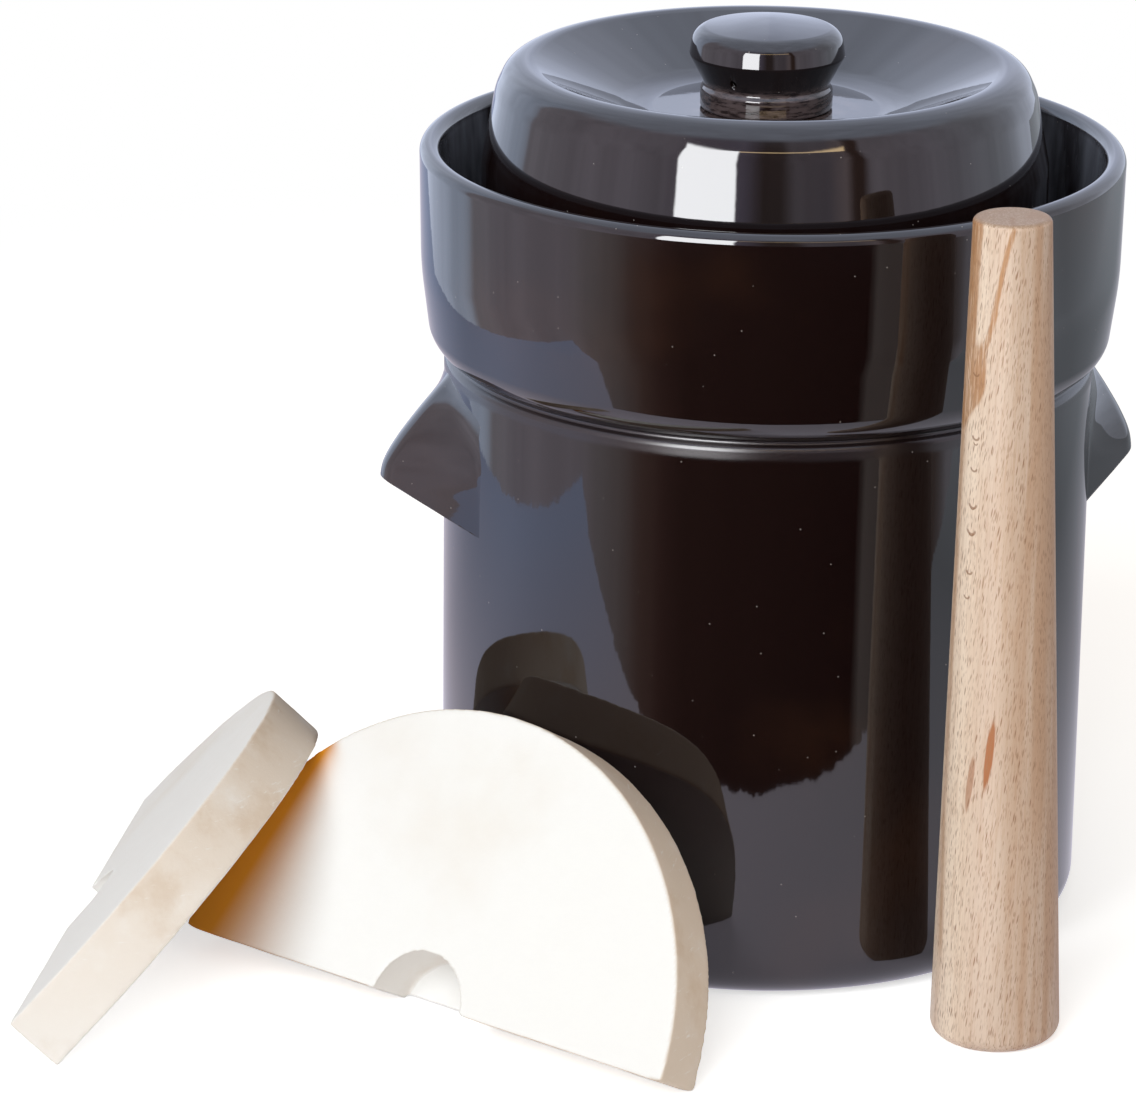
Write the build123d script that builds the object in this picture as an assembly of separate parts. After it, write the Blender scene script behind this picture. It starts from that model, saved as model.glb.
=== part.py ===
from build123d import *
import math
import os

os.makedirs("parts", exist_ok=True)

# Sizes are in millimetres and angles in degrees.
# The origin is the centre of the crock's base on the floor. +Z is up and -Y faces the viewer.

# Crock body: a straight pot of one wall, closed below
body_radius = 105.0
body_wall = 7.4
base_thickness = 10.0
base_corner_radius = 12.5
inner_corner_radius = 14.0
ridge_height = 184.0              # floor to the low ridge under the collar
ridge_radius = 2.2
groove_depth = 2.2                # the groove between the ridge and the collar
groove_width = 4.4
groove_corner_radius = 1.0

# Collar: the outer wall of the water channel
collar_overhang = 8.2             # how far the rim stands out past the body
collar_taper = 0.7                # how much narrower it is where it starts to draw in
collar_waist_height = 24.5        # above its foot, where it starts to draw in
collar_waist_radius = 90.0
collar_foot_draft = 3.1           # how much it draws in from there to its foot
collar_height = 68.0              # above the groove
collar_wall = 6.4
collar_corner_radius = 10.0
collar_foot_rise = 3.4            # how much its under face rises from the groove
channel_floor_thickness = 9.8
channel_corner_radius = 4.0
rim_round_share = 0.485           # rounding of a rim, as a share of its wall

# Throat: the inner wall of the water channel
channel_width = 23.0              # on its floor, between the collar's foot and the throat
throat_wall = 7.0
throat_drop = 9.0                 # how far its rim lies below the collar's rim
throat_foot_radius = 2.4
shoulder_drop = 13.0              # the sloping ceiling inside, from the throat to the wall
shoulder_corner_radius = 6.0

# Lid: a bell with a dished top, standing on the channel's floor
lid_clearance = 3.9               # all round, between the throat and the skirt
lid_shift_share = 0.6             # it stands off centre by this share of the clearance
lid_wall = 6.2
lid_height = 83.4                 # foot to the corner of the crest
lid_draft = 1.5                   # how much the skirt draws in towards the shoulder
lid_foot_round_share = 0.36
shoulder_height = 15.6            # the slanting shoulder, below the crest
shoulder_width = 7.2
shoulder_radius = 15.0
crest_radius = 8.5
dish_depth = 16.8
dish_slope_width = 39.4           # from the crest to where the dish levels out
dish_radius = 30.0                # rounding there

# Knob: hollow, luted on the dish
knob_foot_radius = 21.2
knob_foot_height = 6.4
knob_neck_radius = 20.0
knob_neck_height = 8.0
knob_radius = 24.9
knob_widest_height = 17.4
knob_top_radius = 23.6
knob_top_height = 25.6
knob_height = 28.9
knob_wall = 5.0
knob_edge_radius = 1.2
knob_top_rounding = 5.5
knob_crease_radius = 1.6
vent_radius = 1.3
vent_height = 11.6
vent_bearing = 241.0              # round the axis from +X

# Side handles: two hollow hoods, open below
# Made by hand, so they differ a little. Each reach is taken before the tip is rounded.
handle_right_bearing = 9.5        # from +X
handle_right_reach = 21.2
handle_right_height = 41.5
handle_left_bearing = 193.3
handle_left_reach = 24.3
handle_left_height = 44.5
handle_root_depth = 12.0          # how far each plan section runs on behind the wall
handle_span_share = 3.2           # room for its width on the wall, as a share of its reach
handle_top_drop = 1.4             # below the ridge
handle_wall = 6.0
handle_lip_rise = 8.0             # how much higher the lip is at the tip than at the wall
handle_tip_radius = 9.0
handle_lip_radius = 1.8
# Height, reach and slope of the flanks in each plan section, from below the lip to the top
handle_section_shares = (
    (-0.14, 0.70, 0.68),
    (0.01, 0.79, 0.72),
    (0.18, 0.95, 0.80),
    (0.34, 1.00, 0.84),
    (0.51, 0.78, 0.70),
    (0.685, 0.51, 0.57),
    (0.86, 0.20, 0.39),
    (1.00, 0.02, 0.34),
)

# Weight stones: two halves of a disc that lies in the pot
stone_clearance = 1.2             # between the disc and the pot's bore
stone_thickness = 20.0
stone_kerf = 4.0                  # the gap between the halves when they lie flat
stone_notch_radius = 16.5
stone_edge_radius = 1.8
touch_gap = 0.3                   # left where one loose piece leans on another

# How the stones stand: the first leans on the pot, the second leans on the first
first_stone_bearing = 231.0
first_stone_turn_angle = -35.9    # of its straight edge, from +X
first_stone_lean_angle = 29.9     # off upright
second_stone_turn_angle = -95.9
second_stone_lean_angle = 41.3
second_stone_setback = 46.3       # how far its middle is behind the first one's

# Pounder: a tapered stick that stands on its wide end
pounder_length = 264.6
pounder_base_radius = 20.4
pounder_top_radius = 11.9
pounder_base_rounding = 5.0
pounder_top_rounding = 1.8
pounder_lean_angle = 0.8          # its base is not cut quite square
pounder_bearing = 302.0
pounder_clearance = 9.6           # from the collar's rim

tolerance = 0.01                  # how near an edge is to the face that it is looked for on

# Places worked out from the sizes above
groove_height = ridge_height + groove_width / 2
collar_foot_height = groove_height + collar_foot_rise
rim_height = groove_height + collar_height
rim_radius = body_radius + collar_overhang
collar_waist = rim_radius - collar_taper
collar_foot_radius = collar_waist - collar_foot_draft
channel_floor = collar_foot_height + channel_floor_thickness
pot_bore = body_radius - body_wall
throat_outer_radius = collar_foot_radius - collar_wall - channel_width
throat_radius = throat_outer_radius - throat_wall
throat_height = rim_height - throat_drop
ceiling_height = channel_floor - channel_floor_thickness
lid_radius = throat_outer_radius + lid_clearance + lid_wall
lid_shift = lid_clearance * lid_shift_share
crest_height = channel_floor + lid_height
dish_height = crest_height - dish_depth
dish_floor_radius = lid_radius - lid_draft - shoulder_width - dish_slope_width
stone_radius = pot_bore - stone_clearance


def turned(corners):
    """Solid of revolution about Z from corners given as radius, height and rounding."""
    outline = FilletPolyline(
        *[(radius, height) for radius, height, rounding in corners],
        radius=[rounding for radius, height, rounding in corners],
        close=True,
    )
    return revolve(Plane.XZ * make_face(outline), Axis.Z)


def meeting(line, other):
    """Point where two lines, each a point and a direction, cross."""
    (point, along), (start, way) = line, other
    cross = along.X * way.Y - along.Y * way.X
    apart = start - point
    return point + along * ((apart.X * way.Y - apart.Y * way.X) / cross)


def shelled(corners, wall, foot_height):
    """Corners of a turned wall: the outside path, from its foot to the axis, and back inside it."""
    points = [Vector(radius, height) for radius, height, rounding in corners]
    lines = [(Vector(0, foot_height), Vector(1, 0))]
    for start, end in zip(points, points[1:]):
        along = (end - start).normalized()
        lines.append((start + Vector(-along.Y, along.X) * wall, along))
    lines.append((Vector(0, 0), Vector(0, 1)))
    inside = []
    for index in range(len(points)):
        corner = meeting(lines[index], lines[index + 1])
        rounding = corners[index][2]
        if 0 < index < len(points) - 1:
            before, after = lines[index][1], lines[index + 1][1]
            outward = before.X * after.Y - before.Y * after.X > 0
            rounding = max(rounding - wall, rounding / 4) if outward else rounding + wall
        inside.append((corner.X, corner.Y, rounding))
    return list(corners) + inside[::-1]


def make_crock_body():
    rim_round = collar_wall * rim_round_share
    throat_round = throat_wall * rim_round_share
    return turned([
        (0, 0, 0),
        (body_radius, 0, base_corner_radius),
        (body_radius, ridge_height, ridge_radius),
        (body_radius - groove_depth, groove_height, groove_corner_radius),
        (collar_foot_radius, collar_foot_height, collar_corner_radius),
        (collar_waist, collar_foot_height + collar_waist_height, collar_waist_radius),
        (rim_radius, rim_height, rim_round),
        (rim_radius - collar_wall, rim_height, rim_round),
        (collar_foot_radius - collar_wall, channel_floor, channel_corner_radius),
        (throat_outer_radius, channel_floor, throat_foot_radius),
        (throat_outer_radius, throat_height, throat_round),
        (throat_radius, throat_height, throat_round),
        (throat_radius, ceiling_height, shoulder_corner_radius),
        (pot_bore, ceiling_height - shoulder_drop, shoulder_corner_radius),
        (pot_bore, base_thickness, inner_corner_radius),
        (0, base_thickness, 0),
    ])


def make_lid_shell():
    foot_round = lid_wall * lid_foot_round_share
    shoulder = lid_radius - lid_draft
    shell = turned(shelled([
        (lid_radius, channel_floor, foot_round),
        (shoulder, crest_height - shoulder_height, shoulder_radius),
        (shoulder - shoulder_width, crest_height, crest_radius),
        (dish_floor_radius, dish_height, dish_radius),
        (0, dish_height, 0),
    ], lid_wall, channel_floor))
    return Pos(-lid_shift, 0, 0) * shell


def make_lid_knob():
    widest_height = dish_height + knob_widest_height
    top_height = dish_height + knob_top_height
    hollow_radius = knob_neck_radius - knob_wall
    knob = turned([
        (knob_foot_radius, dish_height, knob_edge_radius),
        (knob_foot_radius, dish_height + knob_foot_height, knob_edge_radius),
        (knob_neck_radius, dish_height + knob_neck_height, knob_edge_radius),
        (knob_radius, widest_height, knob_crease_radius),
        (knob_top_radius, top_height, knob_top_rounding),
        (0, dish_height + knob_height, 0),
        (0, dish_height + knob_height - knob_wall, 0),
        (knob_top_radius - knob_wall, top_height - knob_wall, knob_edge_radius),
        (knob_radius - knob_wall, widest_height, knob_crease_radius),
        (hollow_radius, dish_height + knob_neck_height, knob_edge_radius),
        (hollow_radius, dish_height, 0),
    ])
    vent_axis = Plane(
        origin=(0, 0, dish_height + vent_height),
        x_dir=(0, 0, 1),
        z_dir=(math.cos(math.radians(vent_bearing)), math.sin(math.radians(vent_bearing)), 0),
    )
    vent = vent_axis * extrude(Circle(vent_radius), knob_radius)
    return Pos(-lid_shift, 0, 0) * (knob - vent)


def hood(lip_height, top_height, reach, inset):
    """Solid hood against the wall towards +X, drawn in all round by the inset."""
    root = body_radius - handle_root_depth
    sections = []
    for height_share, reach_share, flank_slope in handle_section_shares:
        tip = body_radius + reach * reach_share - inset
        half_width = (tip - root) / flank_slope - inset / 4
        plan = make_face(Polyline((root, -half_width), (tip, 0), (root, half_width), close=True))
        point = plan.vertices().sort_by(Axis.X)[-1]
        height = lip_height + (top_height - lip_height) * height_share
        sections.append(Pos(0, 0, height) * fillet(point, handle_tip_radius))
    return loft(sections)


def make_handle(bearing, reach, height):
    top_height = ridge_height - handle_top_drop
    lip_height = top_height - height
    lip_slope = math.atan2(handle_lip_rise, reach)
    size = body_radius * 2
    lip = Pos(body_radius, 0, lip_height) * Rot(0, -math.degrees(lip_slope), 0)
    below = lip * Box(size, size, height, align=(Align.CENTER, Align.CENTER, Align.MAX))
    pot = Cylinder(body_radius, ridge_height, align=(Align.CENTER, Align.CENTER, Align.MIN))
    inside = hood(lip_height, top_height - handle_wall, reach, handle_wall)
    span = Pos(body_radius, 0, top_height) * Box(size, reach * handle_span_share, size)
    handle = (hood(lip_height, top_height, reach, 0) & span) - below - inside - pot
    lip_edges = [edge for edge in handle.edges() if on_plane(edge, lip) and not on_wall(edge)]
    return Rot(0, 0, bearing) * fillet(lip_edges, handle_lip_radius)


def on_plane(edge, place):
    normal = Plane(place).z_dir
    return all(abs((edge @ share - place.position).dot(normal)) < tolerance for share in (0, 1 / 2, 1))


def on_wall(edge):
    middle = edge @ (1 / 2)
    return abs(math.hypot(middle.X, middle.Y) - body_radius) < tolerance


def make_stone():
    """Half disc lying flat: its straight edge along X, its arc towards +Y, a notch in the middle."""
    centre = Pos(0, -stone_kerf / 2)
    beyond = Pos(0, -stone_radius) * Rectangle(stone_radius * 3, stone_radius * 2)
    outline = centre * Circle(stone_radius) - beyond - centre * Circle(stone_notch_radius)
    slab = extrude(outline, stone_thickness)
    return fillet(slab.edges(), stone_edge_radius)


def leaning(turn, lean):
    """Plane of a slab's under face: X along its bottom edge, which is on the floor, Y up the face."""
    turn, lean = math.radians(turn), math.radians(lean)
    along = Vector(math.cos(turn), math.sin(turn), 0)
    up_face = Vector(-math.sin(turn) * math.sin(lean), math.cos(turn) * math.sin(lean), math.cos(lean))
    dip = stone_edge_radius * (math.cos(lean) + math.sin(lean) - 1)
    return Plane(origin=(0, 0, -dip), x_dir=along, z_dir=along.cross(up_face))


def shifted(plane, offset):
    return Plane(origin=plane.origin + offset, x_dir=plane.x_dir, z_dir=plane.z_dir)


def rim_points(plane, depth):
    """Points on the circle that the rounded rim is rolled about, at a depth from the under face."""
    reach = stone_radius - stone_edge_radius
    angles = [math.radians(degrees) for degrees in range(0, 181, 3)]
    return [
        plane.from_local_coords(Vector(reach * math.cos(a), reach * math.sin(a) - stone_kerf / 2, depth))
        for a in angles
    ]


def first_stone_plane():
    """It leans back until the rim of its under face is at the pot's wall."""
    bearing = math.radians(first_stone_bearing)
    outward = Vector(math.cos(bearing), math.sin(bearing), 0)
    reach = body_radius + touch_gap + stone_edge_radius
    plane = leaning(first_stone_turn_angle, first_stone_lean_angle)
    distances = []
    for point in rim_points(plane, stone_edge_radius):
        flat = Vector(point.X, point.Y, 0)
        along = flat.dot(outward)
        distances.append(math.sqrt(along**2 - flat.dot(flat) + reach**2) - along)
    return shifted(plane, outward * max(distances))


def second_stone_plane(first):
    """It leans over until its under face is at the rims of the first one."""
    plane = leaning(second_stone_turn_angle, second_stone_lean_angle)
    plane = shifted(plane, Vector(0, first.origin.Y + second_stone_setback, 0))
    down = plane.z_dir * -1
    depths = (stone_edge_radius, stone_thickness - stone_edge_radius)
    rims = [point for depth in depths for point in rim_points(first, depth)]
    nearest = min((point - plane.origin).dot(down) for point in rims)
    return shifted(plane, Vector((nearest - stone_edge_radius - touch_gap) / down.X, 0, 0))


def make_pounder():
    stick = turned([
        (0, 0, 0),
        (pounder_base_radius, 0, pounder_base_rounding),
        (pounder_top_radius, pounder_length, pounder_top_rounding),
        (0, pounder_length, 0),
    ])
    dip = (pounder_base_radius - pounder_base_rounding) * math.sin(math.radians(pounder_lean_angle))
    size = pounder_base_radius * 3
    below = Box(size, size, pounder_base_radius, align=(Align.CENTER, Align.CENTER, Align.MAX))
    standing = Pos(0, 0, -dip) * Rot(0, -pounder_lean_angle, 0) * stick - below
    distance = rim_radius + pounder_clearance + pounder_base_radius
    return Rot(0, 0, pounder_bearing) * Pos(distance, 0, 0) * Rot(0, 0, -pounder_bearing) * standing


def make_pieces():
    first_place = first_stone_plane()
    second_place = second_stone_plane(first_place)
    stone = make_stone()
    return {
        "crock_body": make_crock_body(),
        "handle_right": make_handle(handle_right_bearing, handle_right_reach, handle_right_height),
        "handle_left": make_handle(handle_left_bearing, handle_left_reach, handle_left_height),
        "lid_shell": make_lid_shell(),
        "lid_knob": make_lid_knob(),
        "weight_stone_front": first_place.location * stone,
        "weight_stone_leaning": second_place.location * stone,
        "pounder": make_pounder(),
    }


for name, solid in make_pieces().items():
    export_step(solid, f"parts/{name}.step")
    print(name, round(solid.volume / 1000, 1), "cm3", "valid" if solid.is_valid else "NOT VALID")
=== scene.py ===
import bmesh
import bpy
import math
from mathutils import Matrix, Vector


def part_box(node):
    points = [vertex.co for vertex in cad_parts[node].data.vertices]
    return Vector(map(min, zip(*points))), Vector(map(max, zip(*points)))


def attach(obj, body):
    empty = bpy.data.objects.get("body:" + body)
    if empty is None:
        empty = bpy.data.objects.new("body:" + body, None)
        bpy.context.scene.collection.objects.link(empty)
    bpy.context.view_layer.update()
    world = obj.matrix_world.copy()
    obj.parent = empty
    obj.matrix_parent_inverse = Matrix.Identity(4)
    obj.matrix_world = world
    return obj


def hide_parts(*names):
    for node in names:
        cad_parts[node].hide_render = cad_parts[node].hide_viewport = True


# Metres and radians, unless a name says degrees. The frame's origin is the centre of the crock's foot.
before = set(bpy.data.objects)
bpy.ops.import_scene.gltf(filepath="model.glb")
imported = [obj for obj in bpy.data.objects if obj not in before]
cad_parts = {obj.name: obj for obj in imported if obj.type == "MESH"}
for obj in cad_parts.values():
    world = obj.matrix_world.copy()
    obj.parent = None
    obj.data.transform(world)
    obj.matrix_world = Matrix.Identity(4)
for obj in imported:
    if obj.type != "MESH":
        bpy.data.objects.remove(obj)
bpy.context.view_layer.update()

shared = {
    "steps": 192,                     # round a turned piece
    "arcDegrees": 5.5,                # of a rounding, for each segment
    "leastSegments": 3,
    "edgeSegments": 5,                # of a bevelled edge
    "joinDistance": 0.000002,
    "hair": 0.0000001,                # within this, a point lies on an axis or a cut
}


def setInputs(tree, node, inputs):
    for key, value in inputs.items():
        if isinstance(value, bpy.types.NodeSocket):
            tree.links.new(value, node.inputs[key])
        else:
            node.inputs[key].default_value = value


def addNode(tree, kind, inputs=None, **settings):
    node = tree.nodes.new(kind)
    for key, value in settings.items():
        setattr(node, key, value)
    setInputs(tree, node, inputs or {})
    return node


def calc(tree, operation, first, second=0.0, third=0.0):
    return addNode(tree, "ShaderNodeMath", {0: first, 1: second, 2: third}, operation=operation).outputs[0]


def product(tree, first, *others):
    for other in others:
        first = calc(tree, "MULTIPLY", first, other)
    return first


def scaled(tree, value, scale, offset):
    return calc(tree, "MULTIPLY_ADD", value, scale, offset)


def vectorCalc(tree, operation, inputs):
    return addNode(tree, "ShaderNodeVectorMath", inputs, operation=operation).outputs


def lengthOf(tree, vector):
    return vectorCalc(tree, "LENGTH", {0: vector})["Value"]


def dimmed(tree, colour, share):
    return vectorCalc(tree, "SCALE", {0: colour, "Scale": share})[0]


def axesOf(tree, vector):
    return addNode(tree, "ShaderNodeSeparateXYZ", {0: vector}).outputs


def mapped(tree, vector, location=(0, 0, 0), rotation=(0, 0, 0), scale=(1, 1, 1)):
    return addNode(tree, "ShaderNodeMapping", {
        "Vector": vector, "Location": location, "Rotation": rotation, "Scale": scale}).outputs[0]


def placed(tree, location=(0, 0, 0), scale=(1, 1, 1)):
    return mapped(tree, addNode(tree, "ShaderNodeTexCoord").outputs["Object"], location, scale=scale)


def rampOf(tree, factor, stops):
    ramp = addNode(tree, "ShaderNodeValToRGB", {0: factor})
    elements = ramp.color_ramp.elements
    elements[0].position, elements[-1].position = stops[0][0], stops[-1][0]
    for position, colour in stops[1:-1]:
        elements.new(position)
    for element, (position, colour) in zip(elements, stops):
        element.color = (*colour, 1)
    return ramp.outputs[0]


def spread(tree, value, low, high, newLow=0.0, newHigh=1.0, **settings):
    inputs = {"Value": value, "From Min": low, "From Max": high, "To Min": newLow, "To Max": newHigh}
    return addNode(tree, "ShaderNodeMapRange", inputs, **settings).outputs[0]


def between(tree, value, low, high):
    return spread(tree, value, low, high, interpolation_type="SMOOTHSTEP")


def inside(tree, value, low, high, edge):
    return product(tree, between(tree, value, low - edge, low + edge),
                   between(tree, value, high + edge, high - edge))


def blendColours(tree, factor, first, second):
    return addNode(tree, "ShaderNodeMix", {0: factor, 6: first, 7: second}, data_type="RGBA").outputs[2]


def tinted(tree, colour, tone, *masks):
    return blendColours(tree, product(tree, *masks), colour, (*tone, 1))


def noiseOf(tree, vector, scale, detail=3.0, roughness=0.55):
    return addNode(tree, "ShaderNodeTexNoise",
                   {"Vector": vector, "Scale": scale, "Detail": detail, "Roughness": roughness}).outputs[0]


def cellsOf(tree, vector, scale):
    cells = addNode(tree, "ShaderNodeTexVoronoi", {"Vector": vector, "Scale": scale})
    chance = addNode(tree, "ShaderNodeSeparateColor", {0: cells.outputs["Color"]}).outputs[0]
    return cells.outputs["Distance"], chance


def bumpOf(tree, height, strength, depth, **below):
    return addNode(tree, "ShaderNodeBump",
                   {"Height": height, "Strength": strength, "Distance": depth, **below}).outputs[0]


def newTree(owner):
    owner.use_nodes = True
    owner.node_tree.nodes.clear()
    return owner.node_tree


def emptyMaterial(name):
    material = bpy.data.materials.new(name)
    return material, newTree(material)


def newMaterial(name):
    material, tree = emptyMaterial(name)
    surface = addNode(tree, "ShaderNodeBsdfPrincipled")
    addNode(tree, "ShaderNodeOutputMaterial", {"Surface": surface.outputs[0]})
    return material, tree, surface


def glowOf(tree, colour, strength):
    return addNode(tree, "ShaderNodeEmission", {"Color": colour, "Strength": strength}).outputs[0]


def addedUp(tree, first, second):
    return addNode(tree, "ShaderNodeAddShader", {0: first, 1: second}).outputs[0]


def mixedBy(tree, factor, first, second):
    return addNode(tree, "ShaderNodeMixShader", {0: factor, 1: first, 2: second}).outputs[0]


def objectOf(name, mesh):
    data = bpy.data.meshes.new(name)
    mesh.to_mesh(data)
    mesh.free()
    piece = bpy.data.objects.new(name, data)
    bpy.context.scene.collection.objects.link(piece)
    return piece


def dressed(piece, material, body, nodes):
    piece.data.shade_smooth()
    piece.data.materials.append(material)
    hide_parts(*nodes)
    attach(piece, body)
    return piece


def finished(name, mesh, material, body, nodes):
    bmesh.ops.remove_doubles(mesh, verts=mesh.verts, dist=shared["joinDistance"])
    bmesh.ops.recalc_face_normals(mesh, faces=mesh.faces)
    piece = objectOf(name, mesh)
    piece.modifiers.new("evenNormals", "WEIGHTED_NORMAL")
    return dressed(piece, material, body, nodes)


def applied(piece, name, kind, **settings):
    modifier = piece.modifiers.new(name, kind)
    for key, value in settings.items():
        setattr(modifier, key, value)
    bpy.context.view_layer.objects.active = piece
    bpy.ops.object.modifier_move_to_index(modifier=name, index=0)
    bpy.ops.object.modifier_apply(modifier=name)


def cutWith(piece, tool, name):
    applied(piece, name, "BOOLEAN", operation="DIFFERENCE", object=tool, solver="EXACT")
    bpy.data.objects.remove(tool)


def everything(mesh):
    return mesh.verts[:] + mesh.edges[:] + mesh.faces[:]


def beveled(mesh, parts, offset, affect="EDGES", segments=shared["edgeSegments"], **settings):
    bmesh.ops.bevel(mesh, geom=parts, offset=offset, offset_type="OFFSET", segments=segments, profile=0.5,
                    affect=affect, material=-1, **settings)


def cutEdges(cut):
    return [item for item in cut["geom_cut"] if isinstance(item, bmesh.types.BMEdge)]


def roundedPath(mesh, corners, closed):
    verts = [mesh.verts.new((radius, 0, height)) for radius, height, rounding in corners]
    for index in range(len(verts) if closed else len(verts) - 1):
        mesh.edges.new((verts[index], verts[(index + 1) % len(verts)]))
    points = [Vector((radius, height)) for radius, height, rounding in corners]
    for index, (radius, height, rounding) in enumerate(corners):
        if not rounding:
            continue
        before = points[index] - points[index - 1]
        after = points[(index + 1) % len(points)] - points[index]
        turn = abs(before.angle_signed(after))
        segments = max(shared["leastSegments"], round(math.degrees(turn) / shared["arcDegrees"]))
        beveled(mesh, [verts[index]], rounding * math.tan(turn / 2), "VERTICES", segments)


def turned(corners, closed=True, shift=0.0, steps=shared["steps"]):
    mesh = bmesh.new()
    roundedPath(mesh, corners, closed)
    axisEdges = [edge for edge in mesh.edges if all(abs(vert.co.x) < shared["hair"] for vert in edge.verts)]
    bmesh.ops.delete(mesh, geom=axisEdges, context="EDGES")
    bmesh.ops.spin(mesh, geom=mesh.verts[:] + mesh.edges[:], cent=(0, 0, 0), axis=(0, 0, 1),
                   angle=math.tau, steps=steps, use_merge=True)
    bmesh.ops.remove_doubles(mesh, verts=mesh.verts, dist=shared["joinDistance"])
    bmesh.ops.translate(mesh, verts=mesh.verts, vec=(shift, 0, 0))
    return mesh


# Glaze: near-black brown with a clear gloss, a little uneven, with dust on it, and a pale bluish painted
# reflection down in the channel, where its walls would mirror the sky.
# A noise is its scale, detail and roughness. A mask runs from its first value to its second.
glaze = {
    "colour": (0.0072, 0.0031, 0.0029),
    "thinColour": (0.030, 0.0125, 0.0065),
    "thinNoise": (9.0, 4.0),
    "thinShown": (0.50, 0.78),
    "thinShare": 0.8,
    "knobFootColour": (0.085, 0.062, 0.062),
    "knobFootRadii": (0.030, 0.024),
    "knobFootHeights": (0.262, 0.2755, 0.001),     # low, high and how soft the edge is
    "streakNoise": (190.0, 3.0, 0.6),
    "streakSquash": 5,
    "streaksShown": (0.35, 0.60),
    # painted reflection: pale sky painted in cloudy patches onto the channel's walls
    "channelSheenColour": (0.24, 0.265, 0.335),
    "channelSheenRadii": (0.0985, 0.1072, 0.0006),
    "channelSheenHeights": (0.2010, 0.2515, 0.002),
    "channelSheenNoise": (45.0, 4.0),
    "channelSheenSquash": 0.3,
    "channelSheenShown": (0.25, 0.75),
    "speckColour": (0.22, 0.20, 0.19),
    "specks": ((620.0, 0.17, 0.986), (260.0, 0.075, 0.975)),   # scale, size in a cell, share of cells left bare
    "speckEdge": 0.6,
    "waveNoise": (16.0, 1.0),
    "waveDepth": 0.00022,
    "peelNoise": (210.0, 2.0),
    "peelDepth": 0.000006,
    "refraction": 1.62,
    "roughness": 0.035,
    "ridgeRoughness": 0.26,           # where the glaze runs thin over the ridge
    "ridgeHeights": (0.1805, 0.1885, 0.0012),
    "ridgeRadii": (0.100, 0.101),
}


def makeGlaze(g):
    material, tree, surface = newMaterial("darkGlaze")
    place = placed(tree)
    height = axesOf(tree, place)[2]
    fromAxis = lengthOf(tree, placed(tree, scale=(1, 1, 0)))
    thin = between(tree, noiseOf(tree, place, *g["thinNoise"]), *g["thinShown"])
    colour = tinted(tree, (*g["colour"], 1), g["thinColour"], thin, g["thinShare"])
    streaks = noiseOf(tree, placed(tree, scale=(1, 1, g["streakSquash"])), *g["streakNoise"])
    colour = tinted(tree, colour, g["knobFootColour"], between(tree, fromAxis, *g["knobFootRadii"]),
                    inside(tree, height, *g["knobFootHeights"]), between(tree, streaks, *g["streaksShown"]))
    # painted reflection of the sky, down in the channel
    clouds = noiseOf(tree, placed(tree, scale=(1, 1, g["channelSheenSquash"])), *g["channelSheenNoise"])
    colour = tinted(tree, colour, g["channelSheenColour"], inside(tree, fromAxis, *g["channelSheenRadii"]),
                    inside(tree, height, *g["channelSheenHeights"]), between(tree, clouds, *g["channelSheenShown"]))
    for scale, size, bare in g["specks"]:
        distance, chance = cellsOf(tree, place, scale)
        colour = tinted(tree, colour, g["speckColour"], between(tree, distance, size, size * g["speckEdge"]),
                        calc(tree, "GREATER_THAN", chance, bare))
    waves = bumpOf(tree, noiseOf(tree, place, *g["waveNoise"]), 1.0, g["waveDepth"])
    peel = bumpOf(tree, noiseOf(tree, place, *g["peelNoise"]), 1.0, g["peelDepth"], Normal=waves)
    ridge = product(tree, inside(tree, height, *g["ridgeHeights"]), between(tree, fromAxis, *g["ridgeRadii"]))
    roughness = scaled(tree, ridge, g["ridgeRoughness"] - g["roughness"], g["roughness"])
    setInputs(tree, surface, {
        "Base Color": colour, "Normal": peel, "Roughness": roughness, "IOR": g["refraction"]})
    return material


darkGlaze = makeGlaze(glaze)

# Crock: a straight pot, a low ridge and groove, and the channel between the collar and the throat
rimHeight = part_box("crock_body")[1].z
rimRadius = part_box("crock_body")[1].x
crock = {
    "bodyRadius": 0.105,
    "bodyWall": 0.0074,
    "baseThickness": 0.010,
    "baseRounding": 0.0125,
    "innerRounding": 0.014,
    "ridgeHeight": 0.184,
    "ridgeRounding": 0.0022,
    "grooveDepth": 0.0022,
    "grooveHeight": 0.1862,
    "grooveRounding": 0.001,
    "collarFootRadius": 0.1094,
    "collarFootHeight": 0.1896,
    "collarFootRounding": 0.010,
    "collarWaistRadius": 0.1125,
    "collarWaistHeight": 0.2141,
    "collarWaistRounding": 0.090,
    "collarWall": 0.0064,
    "rimShare": 0.485,                # a rim's rounding, as a share of its wall
    "rimTopWidth": 0.0066,            # the rim flares a little inside
    "rimInnerRounding": 0.0036,
    "flareRadius": 0.1060,
    "flareHeight": 0.2492,
    "flareRounding": 0.010,
    "channelFloor": 0.1994,
    "channelRounding": 0.004,
    "throatRadius": 0.080,
    "throatWall": 0.007,
    "throatHeight": 0.2452,
    "throatFootRounding": 0.0024,
    "ceilingHeight": 0.1896,
    "shoulderDrop": 0.013,
    "shoulderRounding": 0.006,
}


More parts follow.
